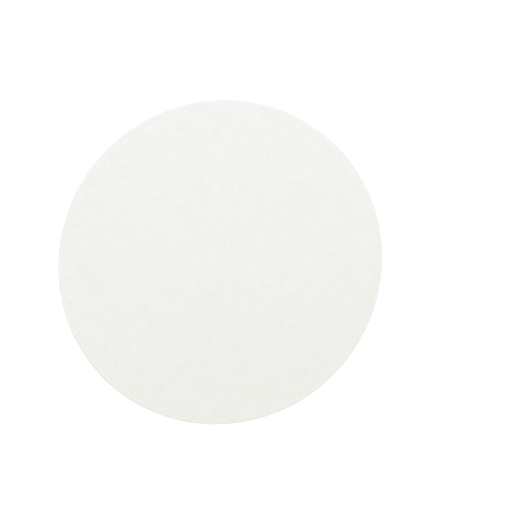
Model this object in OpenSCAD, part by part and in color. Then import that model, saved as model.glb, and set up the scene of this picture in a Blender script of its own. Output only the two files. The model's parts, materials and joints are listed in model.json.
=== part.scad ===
// Filter paper disc: one flat round of smooth filter paper, punched out of the sheet by a ring die.
// Millimetres, +Z up. The origin is the middle of the underside, which lies on the table.

/* [Sheet] */
// Diameter of the disc, which is the size that it is sold by
disc_d = 55; // [20:0.5:320]
// Thickness of the paper
sheet_t = 0.2; // [0.1:0.01:1]

/* [Cut edge] */
// Radius of the upper corner of the cut, rolled over by the die as it comes down
roll_r = 0.06; // [0.01:0.005:0.065]
// Radius of the lower corner of the cut, where the last fibres break
break_r = 0.02; // [0.005:0.005:0.03]

/* [Hidden] */

// Sides of the rim, and of each rounded corner of its section
rim_fn = 360;
corner_fn = 48;

disc_r = disc_d / 2;
// Height at which the straight cut ends and the rolled corner begins
land_top = sheet_t - roll_r;

// Half of the sheet's section, from the axis out to the cut edge
module sheet_section() {
    // The full thickness, in from the rolled corner
    square([disc_r - roll_r, sheet_t]);
    // The underside's part, in from the broken corner
    square([disc_r - break_r, land_top]);
    // The straight cut between the two corners
    translate([0, break_r]) square([disc_r, land_top - break_r]);
    cut_corner(roll_r, land_top);
    cut_corner(break_r, break_r);
}

// One rounded corner of the cut, whose centre lies at the height z
module cut_corner(radius, z) {
    translate([disc_r - radius, z]) circle(r = radius, $fn = corner_fn);
}

module paper_disc() {
    color("#f1f1ee") rotate_extrude($fn = rim_fn) sheet_section();
}

paper_disc();
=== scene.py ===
import json
import math
import random
import bmesh
import bpy
from mathutils import Matrix, Vector, noise


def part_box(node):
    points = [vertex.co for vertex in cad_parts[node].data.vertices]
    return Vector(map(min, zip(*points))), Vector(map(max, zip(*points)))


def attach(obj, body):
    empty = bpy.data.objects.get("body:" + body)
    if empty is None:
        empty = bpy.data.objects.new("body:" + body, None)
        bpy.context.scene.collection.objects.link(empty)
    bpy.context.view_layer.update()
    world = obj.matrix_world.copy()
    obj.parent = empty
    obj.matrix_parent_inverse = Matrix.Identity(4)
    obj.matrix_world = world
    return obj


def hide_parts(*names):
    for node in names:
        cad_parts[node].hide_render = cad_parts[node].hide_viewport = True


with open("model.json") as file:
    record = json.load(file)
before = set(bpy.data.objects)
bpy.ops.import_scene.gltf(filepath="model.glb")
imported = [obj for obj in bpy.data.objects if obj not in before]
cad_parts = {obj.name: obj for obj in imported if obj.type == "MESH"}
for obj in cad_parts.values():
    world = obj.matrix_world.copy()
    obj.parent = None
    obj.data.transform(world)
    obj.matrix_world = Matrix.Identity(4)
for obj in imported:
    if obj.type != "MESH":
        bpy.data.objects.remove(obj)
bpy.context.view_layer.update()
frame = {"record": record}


# The camera looks down on the disc through a long lens, tipped towards the upper left of the picture
# by the slant that the photograph has, with the disc to the left of the middle.
# Its place is given round a point on the table: azimuth 0 looks along +Y, and elevation is from the table.
scene = bpy.context.scene
lens = bpy.data.cameras.new("long_lens")
lens.lens = 85
lens.sensor_width = 36
lens.clip_start = 0.01
camera = bpy.data.objects.new("camera", lens)
scene.collection.objects.link(camera)
scene.camera = camera

aim = Vector((0.00693, -0.00018, 0))
azimuth = math.radians(231.85)
elevation = math.radians(75.35)
distance = 0.21105
along_table = Vector((math.sin(azimuth), -math.cos(azimuth), 0))
backwards = along_table * math.cos(elevation) + Vector((0, 0, math.sin(elevation)))
rightwards = Vector((0, 1, 0)).cross(backwards).normalized()
upwards = backwards.cross(rightwards)
turned = Matrix((rightwards, upwards, backwards)).transposed()
camera.matrix_world = Matrix.LocRotScale(aim + backwards * distance, turned, None)


# The paper disc: one round of smooth filter paper, a felt of bleached cellulose fibres with no coating.
# A ring die punches it out of the sheet, which rolls its upper corner over and breaks the lower one off.
# It is fixed to nothing and lies loose, touching the table all over but for two stretches of its rim.
rim = next(mount for mount in frame["record"]["mounts"] if mount["name"] == "rim")
disc_r = rim["dims"]["r_mm"] / 1000
lowest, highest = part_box("paper_disc")
sheet_t = highest.z - lowest.z
roll_r = 0.00006
break_r = 0.00002

# A six-sided fan is split into even triangles and pushed out to a circle, ring by ring. The rings crowd
# together towards the rim, and the rim itself is split finer, because the cut is the finest shape here.
FAN_SIDES = 6
RINGS = 72
RING_CROWDING = 1.2
RIM_CUTS = 4
side_bearings = [side * math.tau / FAN_SIDES for side in range(FAN_SIDES // 2)]
side_directions = [Vector((math.cos(bearing), math.sin(bearing), 0)) for bearing in side_bearings]
side_distance = disc_r * math.cos(math.pi / FAN_SIDES)

felt = bmesh.new()
bmesh.ops.create_circle(felt, cap_ends=True, cap_tris=True, segments=FAN_SIDES, radius=disc_r)
bmesh.ops.subdivide_edges(felt, edges=felt.edges[:], cuts=RINGS - 1, use_grid_fill=True)
for vert in felt.verts:
    ring = max(abs(vert.co.dot(direction)) for direction in side_directions) / side_distance
    if ring > 0:
        vert.co *= disc_r * (1 - max(0, 1 - ring) ** RING_CROWDING) / vert.co.length
outline = [edge for edge in felt.edges if edge.is_boundary]
bmesh.ops.subdivide_edges(felt, edges=outline, cuts=RIM_CUTS, use_single_edge=True)
for vert in felt.verts:
    if vert.is_boundary:
        vert.co *= disc_r / vert.co.length

raised = bmesh.ops.extrude_face_region(felt, geom=felt.faces[:])["geom"]
upper_verts = [part for part in raised if isinstance(part, bmesh.types.BMVert)]
bmesh.ops.translate(felt, verts=upper_verts, vec=(0, 0, sheet_t))
bmesh.ops.recalc_face_normals(felt, faces=felt.faces[:])

# Both corners of the cut are rounded, and the straight cut between them is split so that it can waver.
ROLL_SEGMENTS = 4
BREAK_SEGMENTS = 2
STRAIGHT_CUTS = 2


def round_corner(height, radius, segments):
    """Rounds the corner of the cut that lies at that height."""
    slack = break_r / 4
    corner = [
        edge
        for edge in felt.edges
        if all(abs(v.co.z - height) < slack and v.co.xy.length > disc_r - slack for v in edge.verts)
    ]
    bmesh.ops.bevel(
        felt,
        geom=corner,
        offset=radius,
        offset_type="OFFSET",
        segments=segments,
        profile=0.5,
        affect="EDGES",
        material=-1,
    )


round_corner(sheet_t, roll_r, ROLL_SEGMENTS)
round_corner(0, break_r, BREAK_SEGMENTS)
straight_cut = [edge for edge in felt.edges if abs(edge.verts[0].co.z - edge.verts[1].co.z) > roll_r]
bmesh.ops.subdivide_edges(felt, edges=straight_cut, cuts=STRAIGHT_CUTS)

# The faces that the material has to know, told by how far their normals point up: the cut, and the
# underside, which lay on the papermaker's wire.
steep = 0.5
downward = -0.9
cut_face = felt.faces.layers.float.new("cut_face")
wire_side = felt.faces.layers.float.new("wire_side")
felt.normal_update()
for face in felt.faces:
    face[cut_face] = float(abs(face.normal.z) < steep)
    face[wire_side] = float(face.normal.z < downward)
    face.smooth = True

# The map that the paper's patterns are laid out on, still measured on the flat sheet: the upper face with
# the cut spread out round it, and beside it the underside.
upper_spot = Vector((0.36, 0.36))
upper_size = 0.35
under_spot = Vector((0.78, 0.78))
under_size = 0.21
spread = felt.loops.layers.uv.new("OFBake")
for face in felt.faces:
    for loop in face.loops:
        out = loop.vert.co.xy.length
        height = loop.vert.co.z
        if face[wire_side]:
            reach = under_size * out / disc_r
            middle = under_spot
        else:
            past_bulge = out if height > sheet_t / 2 else 2 * disc_r - out
            reach = upper_size * (past_bulge + sheet_t - height) / disc_r
            middle = upper_spot
        loop[spread].uv = middle + (loop.vert.co.xy.normalized() * reach if out else Vector((0, 0)))

# How the sheet lies: each stretch of rim leaves the table in one easy curl, away from a line across the
# disc. A curl has its bearing, that line's distance from the middle, and the height that the rim comes to.
curls = (
    (math.radians(38), 0.010, 0.00022),
    (math.radians(212), 0.013, 0.00014),
)


def lift(x, y):
    """Height of the sheet's underside over the table."""
    height = 0
    for bearing, start, rim_height in curls:
        past = x * math.cos(bearing) + y * math.sin(bearing) - start
        height += rim_height * (max(0, past) / (disc_r - start)) ** 2
    return height


# The felt is a little thicker where the pulp settled densely, and the cut wavers by about a fibre's width.
CLUMP_OCTAVES = 3
clump_size = 0.0018
clump_falloff = 1
clump_step = 2
clump_height = 0.000006
waver_sizes = (0.0011, 0.00025, 0.00011)
waver = 0.000012
for vert in felt.verts:
    flat = Vector((vert.co.x, vert.co.y, 0))
    upper = vert.co.z / sheet_t
    clump = noise.fractal(flat / clump_size, clump_falloff, clump_step, CLUMP_OCTAVES)
    vert.co.z += clump * clump_height * upper
    if flat.length > disc_r - roll_r - break_r:
        vert.co += flat.normalized() * sum(noise.noise(vert.co / size) for size in waver_sizes) * waver
    vert.co.z += lift(flat.x, flat.y)

sheet_mesh = bpy.data.meshes.new("paper_sheet")
felt.to_mesh(sheet_mesh)
felt.free()
paper_sheet = bpy.data.objects.new("paper_sheet", sheet_mesh)
scene.collection.objects.link(paper_sheet)


class Field:
    """What a node's socket gives at each point of a surface. Sums on fields add Math nodes."""

    def __init__(self, tree, socket=None):
        self.tree = tree
        self.socket = socket

    def node(self, kind, settings=(), sockets=(), output=0):
        """Adds a node to the same tree and gives the field at one of its outputs."""
        made = self.tree.nodes.new("ShaderNode" + kind)
        for name, value in dict(settings).items():
            setattr(made, name, value)
        for name, value in dict(sockets).items():
            if isinstance(value, Field):
                self.tree.links.new(value.socket, made.inputs[name])
            else:
                made.inputs[name].default_value = value
        return Field(self.tree, made.outputs[output] if made.outputs else None)

    def math_node(self, operation, first, second=0.0):
        """The result of one operation on fields or numbers."""
        return self.node("Math", {"operation": operation}, {0: first, 1: second})

    def __add__(self, other):
        return self.math_node("ADD", self, other)

    def __sub__(self, other):
        return self.math_node("SUBTRACT", self, other)

    def __rsub__(self, other):
        return self.math_node("SUBTRACT", other, self)

    def __mul__(self, other):
        return self.math_node("MULTIPLY", self, other)

    def __abs__(self):
        return self.math_node("ABSOLUTE", self)

    __radd__ = __add__
    __rmul__ = __mul__

    def or_more(self, other):
        """The larger of the two."""
        return self.math_node("MAXIMUM", self, other)

    def grain(self, size, detail=0.0, output="Fac"):
        """Noise of that grain size, read at the place that this field gives."""
        sockets = {"Vector": self, "Scale": 1 / size, "Detail": detail}
        return self.node("TexNoise", sockets=sockets, output=output)

    def ramp(self, low, high):
        """0 below low, 1 above high, and smooth between."""
        sockets = {"Value": self, "From Min": low, "From Max": high}
        return self.node("MapRange", {"interpolation_type": "SMOOTHSTEP"}, sockets)

    def blend(self, none, full):
        """One colour where this field is 0, shading into the other where it is 1."""
        # A Mix node takes colours at its sockets 6 and 7, and gives one at its output 2.
        return self.node("Mix", {"data_type": "RGBA"}, {0: self, 6: none, 7: full}, 2)


def bare_nodes(owner):
    """An empty node tree for a material or a world, as a field to build on."""
    owner.use_nodes = True
    owner.node_tree.nodes.clear()
    return Field(owner.node_tree)


# The paper's look: off-white, a mat of pale fibres that lie in every direction over small gaps painted
# darker as shade, cloudy where the pulp settled unevenly, and a shade warmer or cooler in broad patches.
filter_paper = bpy.data.materials.new("filter_paper")
nodes = bare_nodes(filter_paper)
place = nodes.node("TexCoord", output="Object")

# Each layer of fibres is noise drawn out along a bearing of its own and shifted to a part of its own. A
# strand follows the noise's middle value, drifts a little from side to side, and breaks off. Its width is a
# range of that value, and break_size is in fibre lengths. Each layer stands a little higher than the last,
# and the lower layers are painted darker, as painted shade deeper in the felt.
FIBRE_LAYERS = 9
noise_middle = 0.5
fibre_length = 0.0024
fibre_spacing = 0.00016
fibre_drift = 0.0006
drift_sizes = (0.0012, 0.0018, 0.0026)
strand_width = 0.055
break_size = 0.9
broken_below = 0.42
whole_above = 0.62
layer_skew = 0.13
layer_shift_x = 0.013
layer_shift_y = 0.007
lowest_layer_height_and_shade = 0.55
layer_step_height_and_shade = 0.05
drifted = []
for size in drift_sizes:
    drift = place.grain(size, detail=1, output="Color")
    sockets = {0: drift, 1: (fibre_drift, fibre_drift, fibre_drift), 2: place}
    drifted.append(nodes.node("VectorMath", {"operation": "MULTIPLY_ADD"}, sockets))

fibres = 0
for layer in range(FIBRE_LAYERS):
    turn = layer % len(drifted)
    sockets = {
        "Vector": drifted[turn],
        "Location": (layer_shift_x * layer, layer_shift_y * layer, 0),
        "Rotation": (0, 0, math.pi * layer / FIBRE_LAYERS + layer_skew * turn),
        "Scale": (fibre_length, fibre_spacing, fibre_spacing),
    }
    drawn_out = nodes.node("Mapping", {"vector_type": "TEXTURE"}, sockets)
    strand = 1 - abs(drawn_out.grain(1) - noise_middle).ramp(0, strand_width)
    unbroken = drawn_out.grain(break_size).ramp(broken_below, whole_above)
    layer_height_and_painted_shade = lowest_layer_height_and_shade + layer_step_height_and_shade * layer
    fibres = (strand * unbroken * layer_height_and_painted_shade).or_more(fibres)

# The mat is taken from the fibres' mean, so that on the whole it leaves the paper's colour as it is. The
# die presses it flatter in a narrow band along the cut.
fibres_mean = 0.325
pressed_w = 0.0005
press_flattens = 0.5
across = nodes.node("VectorMath", {"operation": "MULTIPLY"}, {0: place, 1: (1, 1, 0)})
from_middle = nodes.node("VectorMath", {"operation": "LENGTH"}, {0: across}, "Value")
pressed = from_middle.ramp(disc_r - pressed_w, disc_r)
fibre_mat = (fibres - fibres_mean) * (1 - pressed * press_flattens)

# The cut shows the felt's layers end on, as fine grain that is drawn out along the sheet.
cut_grain_size = 0.00006
cut_layering = (1, 1, 3)
on_cut = nodes.node("Attribute", {"attribute_name": "cut_face"}, output="Fac")
layered = nodes.node("VectorMath", {"operation": "MULTIPLY"}, {0: place, 1: cut_layering})
cut_grain = (layered.grain(cut_grain_size, detail=2) - noise_middle) * on_cut

# The papermaker's wire leaves the print of its weave on the underside.
wire_pitch = 0.00042
on_wire = nodes.node("Attribute", {"attribute_name": "wire_side"}, output="Fac")
turns = nodes.node("VectorMath", {"operation": "SCALE"}, {0: place, "Scale": math.tau / wire_pitch})
waves = nodes.node("VectorMath", {"operation": "SINE"}, {0: turns})
warp_wave = nodes.node("SeparateXYZ", sockets={"Vector": waves}, output="X")
weft_wave = nodes.node("SeparateXYZ", sockets={"Vector": waves}, output="Y")
wire_print = warp_wave * weft_wave * on_wire

# The colour, and how far each feature lightens or darkens it. The band that the die presses is lightened
# with a painted sheen.
cool_white = (0.896, 0.901, 0.872, 1)
warm_white = (0.900, 0.898, 0.862, 1)
patch_size = 0.022
cool_below = 0.3
warm_above = 0.7
cloud_size = 0.0028
fibre_tone_and_painted_shade = 0.085
cloud_contrast = 0.04
cut_contrast = 0.25
# Painted sheen: the pressed band along the cut is lightened.
press_painted_sheen = 0.006
cloud = place.grain(cloud_size, detail=3) - noise_middle
tint = place.grain(patch_size, detail=1).ramp(cool_below, warm_above).blend(cool_white, warm_white)
# Painted shade: the fibre mat darkens the gaps between fibres and the lower layers, together with the
# cloudy mottle.
fibre_shade_and_mottle = fibre_mat * fibre_tone_and_painted_shade + cloud * cloud_contrast
shade = 1 + fibre_shade_and_mottle + cut_grain * cut_contrast + pressed * press_painted_sheen
paper_colour = nodes.node("VectorMath", {"operation": "SCALE"}, {0: tint, "Scale": shade})

# The relief, in which a fibre stands one fibre_height up and the other features so many times that.
fibre_height = 0.00001
cloud_relief = 0.6
cut_relief = 3
wire_relief = 0.4
surface = fibre_mat + cloud * cloud_relief + cut_grain * cut_relief + wire_print * wire_relief
relief = nodes.node("Bump", sockets={"Height": surface, "Distance": fibre_height, "Strength": 1})

# The finish: matt, a little smoother on the fibres and where the die presses, with light that goes a short
# way into the felt.
felt_roughness = 0.95
fibre_polish = 0.06
press_polish = 0.08
light_reach = 0.00004
felt_body = nodes.node(
    "BsdfPrincipled",
    sockets={
        "Base Color": paper_colour,
        "Roughness": felt_roughness - fibres * fibre_polish - pressed * press_polish,
        "Specular IOR Level": 0.25,
        "Subsurface Weight": 0.4,
        "Subsurface Radius": (1, 1, 1),
        "Subsurface Scale": light_reach,
        "Normal": relief,
    },
)
nodes.node("OutputMaterial", sockets={"Surface": felt_body})
sheet_mesh.materials.append(filter_paper)

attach(paper_sheet, "root")
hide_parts("paper_disc")


# The loose fibre ends along the cut: the die parts the felt but not every fibre, so the ends of single
# fibres stand out of the edge. They are the paper's own cellulose and are held by the felt they lie in.
# Most are short. They lean to either side, and rather up than down.
FIBRE_ENDS = 1600
END_SIDES = 4
END_CUTS = 2
end_r = 0.000009
tip_share = 0.4
rooted = 0.00004
shortest_end = 0.00002
longest_end = 0.00026
shortness = 3
side_lean = 1.5
lowest_rise = -0.1
highest_rise = 0.4
seed = 5
draw = random.Random(seed)
noise.seed_set(seed)

ends = bmesh.new()
spread = ends.loops.layers.uv.new("OFBake")
map_cells = math.ceil(math.sqrt(FIBRE_ENDS))
for number in range(FIBRE_ENDS):
    bearing = draw.uniform(0, math.tau)
    outwards = Vector((math.cos(bearing), math.sin(bearing), 0))
    root = outwards * (disc_r - rooted)
    root.z = lift(root.x, root.y) + draw.uniform(break_r, sheet_t - roll_r)
    length = rooted + shortest_end + (longest_end - shortest_end) * draw.random() ** shortness
    aside = outwards.cross(Vector((0, 0, 1))) * draw.uniform(-side_lean, side_lean)
    rise = Vector((0, 0, draw.uniform(lowest_rise, highest_rise)))
    grows = (outwards + aside + rise).normalized()
    stands = Matrix.LocRotScale(root + grows * length / 2, grows.to_track_quat("Z", "Y"), None)
    made = bmesh.ops.create_cone(
        ends,
        cap_ends=True,
        segments=END_SIDES,
        radius1=end_r,
        radius2=end_r * tip_share,
        depth=length,
        matrix=stands,
        calc_uvs=True,
    )
    map_cell = Vector((number % map_cells, number // map_cells))
    for loop in {loop for vert in made["verts"] for loop in vert.link_loops}:
        loop[spread].uv = (map_cell + loop[spread].uv) / map_cells

# The further an end stands out, the more it curls. None goes under the table.
curl_size = 0.0002
curl = 0.6
lengthwise = [edge for edge in ends.edges if edge.calc_length() > 2 * end_r]
bmesh.ops.subdivide_edges(ends, edges=lengthwise, cuts=END_CUTS)
for vert in ends.verts:
    stands_out = max(0, vert.co.xy.length - disc_r)
    vert.co += noise.noise_vector(vert.co / curl_size) * stands_out * curl
    vert.co.z = max(0, vert.co.z)
for face in ends.faces:
    face.smooth = True

ends_mesh = bpy.data.meshes.new("edge_fibres")
ends.to_mesh(ends_mesh)
ends.free()
ends_mesh.materials.append(filter_paper)
edge_fibres = bpy.data.objects.new("edge_fibres", ends_mesh)
scene.collection.objects.link(edge_fibres)
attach(edge_fibres, "root")
2 * disc_r
2 * disc_r
math.pi * disc_r**2


# The table: a plain pale top, which the camera sees as white but for the paper's shadow on it. It fades
# out into the white room a little way from the paper.
TABLE_SIDES = 96
table_r = 0.1
fade_start = 0.04
fade_end = 0.09
top = bmesh.new()
bmesh.ops.create_circle(top, cap_ends=True, segments=TABLE_SIDES, radius=table_r)
top_mesh = bpy.data.meshes.new("table_top")
top.to_mesh(top_mesh)
top.free()
table_top = bpy.data.objects.new("table_top", top_mesh)
scene.collection.objects.link(table_top)


def seen(nodes):
    """1 where the camera sees a thing, straight or by gloss or glass, and 0 for the light it sends on."""
    straight, gloss, through = (
        nodes.node("LightPath", output=name)
        for name in ("Is Camera Ray", "Is Glossy Ray", "Is Transmission Ray")
    )
    return straight.or_more(gloss).or_more(through)


# The white that the camera is shown lies a little over 1, so that neither uneven light nor noise greys it.
pale = (0.8, 0.8, 0.8, 1)
shown_white = (1.15, 1.15, 1.15, 1)
table_finish = bpy.data.materials.new("pale_table")
nodes = bare_nodes(table_finish)
place = nodes.node("TexCoord", output="Object")
from_middle = nodes.node("VectorMath", {"operation": "LENGTH"}, {0: place}, "Value")
matt = nodes.node("BsdfDiffuse", sockets={"Color": seen(nodes).blend(pale, shown_white)})
clear = nodes.node("BsdfTransparent")
faded = nodes.node("MixShader", sockets={0: from_middle.ramp(fade_start, fade_end), 1: matt, 2: clear})
nodes.node("OutputMaterial", sockets={"Surface": faded})
top_mesh.materials.append(table_finish)


# The light: an even warm white room, one broad soft lamp from the upper left, and a cooler one past the
# top of the picture. Each one's level is the share of the paper's light that it gives. They come to about
# 1, at which a colour shows as it is written.
scene.view_settings.view_transform = "Standard"
warm_light = Vector((1.047, 1.011, 0.919))
cool_light = Vector((0.83, 0.98, 1.40))

room_level = 0.55
room = bpy.data.worlds.new("white_room")
scene.world = room
nodes = bare_nodes(room)
room_light = (*(warm_light * room_level), 1)
walls = nodes.node("Background", sockets={"Color": seen(nodes).blend(room_light, shown_white)})
nodes.node("OutputWorld", sockets={"Surface": walls})


def hang(lamp, spot):
    """Puts a lamp at a spot over the table, turned to the middle of the paper."""
    hung = bpy.data.objects.new(lamp.name, lamp)
    hung.matrix_world = Matrix.LocRotScale(spot, spot.to_track_quat("Z", "Y"), None)
    scene.collection.objects.link(hung)


broad_level = 0.265
broad_spread = math.radians(70)
broad_spot = Vector((-0.37, 0.44, 0.82))
broad_lamp = bpy.data.lights.new("broad_lamp", "SUN")
broad_lamp.angle = broad_spread
broad_lamp.color = warm_light
broad_lamp.energy = broad_level * math.pi / broad_spot.normalized().z
hang(broad_lamp, broad_spot)

cool_level = 0.187
cool_size = 0.1
cool_spot = Vector((-0.005, 0.16, 0.20))
cool_lamp = bpy.data.lights.new("cool_lamp", "AREA")
cool_lamp.size = cool_size
cool_lamp.color = cool_light
cool_lamp.energy = cool_level * math.pi**2 * cool_spot.length_squared / cool_spot.normalized().z
hang(cool_lamp, cool_spot)
